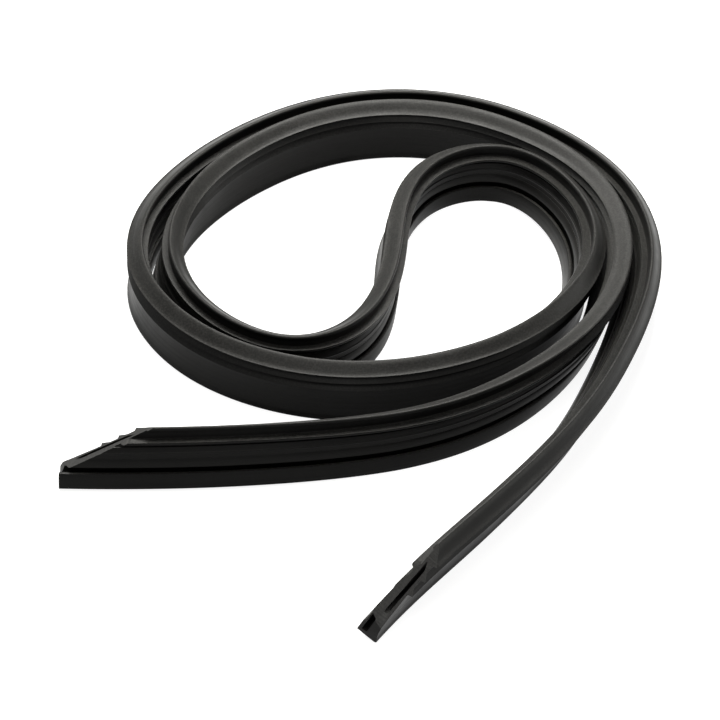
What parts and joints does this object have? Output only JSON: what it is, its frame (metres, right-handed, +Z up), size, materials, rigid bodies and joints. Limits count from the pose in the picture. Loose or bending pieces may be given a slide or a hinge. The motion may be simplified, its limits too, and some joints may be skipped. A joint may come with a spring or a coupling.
{
  "type": "dishwasher door seal",
  "caption": "Black rubber door seal for a dishwasher, a barbed and grooved strip with a hollow core and slanted cut ends, coiled loosely on its edge.",
  "frame": {"origin": "under the middle of the coil's bounding box, on the surface that the strip stands on", "axes": "+Z up; -Y towards the free end at the front; -X towards the free end at the left"},
  "size_m": [0.2182, 0.3008, 0.0244],
  "materials": {
    "rubber": "satin black rubber, smooth top, fine extrusion lines along the strip"
  },
  "bodies": {
    "root": {"door_seal": "rubber"}
  },
  "joints": []
}
